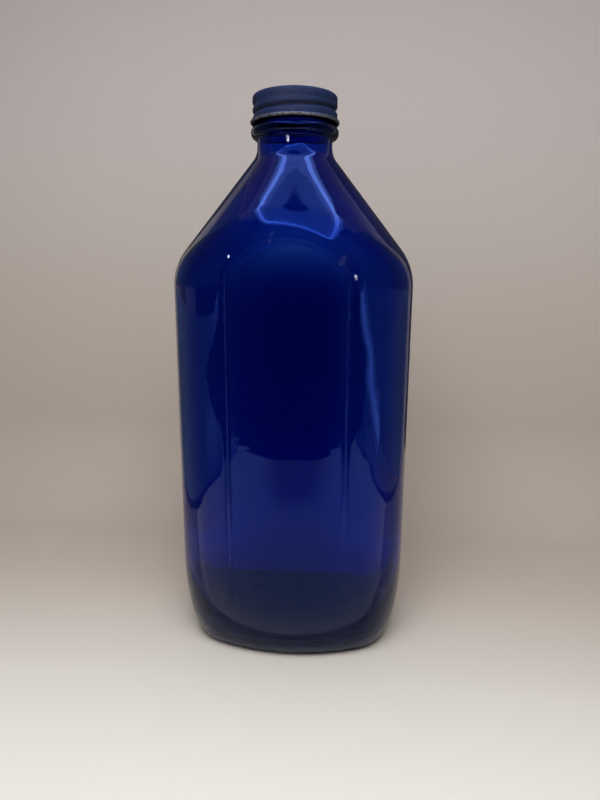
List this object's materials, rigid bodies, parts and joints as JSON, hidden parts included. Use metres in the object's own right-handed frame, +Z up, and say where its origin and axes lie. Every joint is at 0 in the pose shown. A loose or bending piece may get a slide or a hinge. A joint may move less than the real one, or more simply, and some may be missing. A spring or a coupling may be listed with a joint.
{
  "type": "screw cap bottle",
  "caption": "Rounded rectangular cobalt blue glass storage bottle with a sloping shoulder, a short ringed neck and a worn blue painted metal screw cap that turns off along its thread.",
  "frame": {"origin": "centre of the base, on the plane that the bottle stands on", "axes": "+Z up along the neck's axis, +X to the right seen from the front, front face towards -Y"},
  "size_m": [0.0996, 0.074, 0.2337],
  "materials": {
    "blue_glass": "glossy moulded cobalt blue glass",
    "painted_tinplate": "worn satin dark blue paint on tinplate",
    "pulpboard": "matt grey-brown pulpboard",
    "coated_paper": "smooth waxed white paper"
  },
  "bodies": {
    "bottle": {"glass_bottle": "blue_glass"},
    "liner": {"liner_board": "pulpboard", "liner_facing": "coated_paper"},
    "cap": {"cap_shell": "painted_tinplate"}
  },
  "joints": [
    {"name": "cap_rise", "type": "slide", "parent": "bottle", "child": "liner", "axis": [0, 0, 1], "range_m": [0, 0.0127]},
    {"name": "cap_turn", "type": "hinge", "parent": "liner", "child": "cap", "pos_m": [0, 0, 0.2286], "axis": [0, 0, 1], "range_deg": [0, 1440]}
  ],
  "couplings": [
    {"joint": "cap_rise", "follows": "cap_turn", "m_per_rad": 0.00050531}
  ]
}
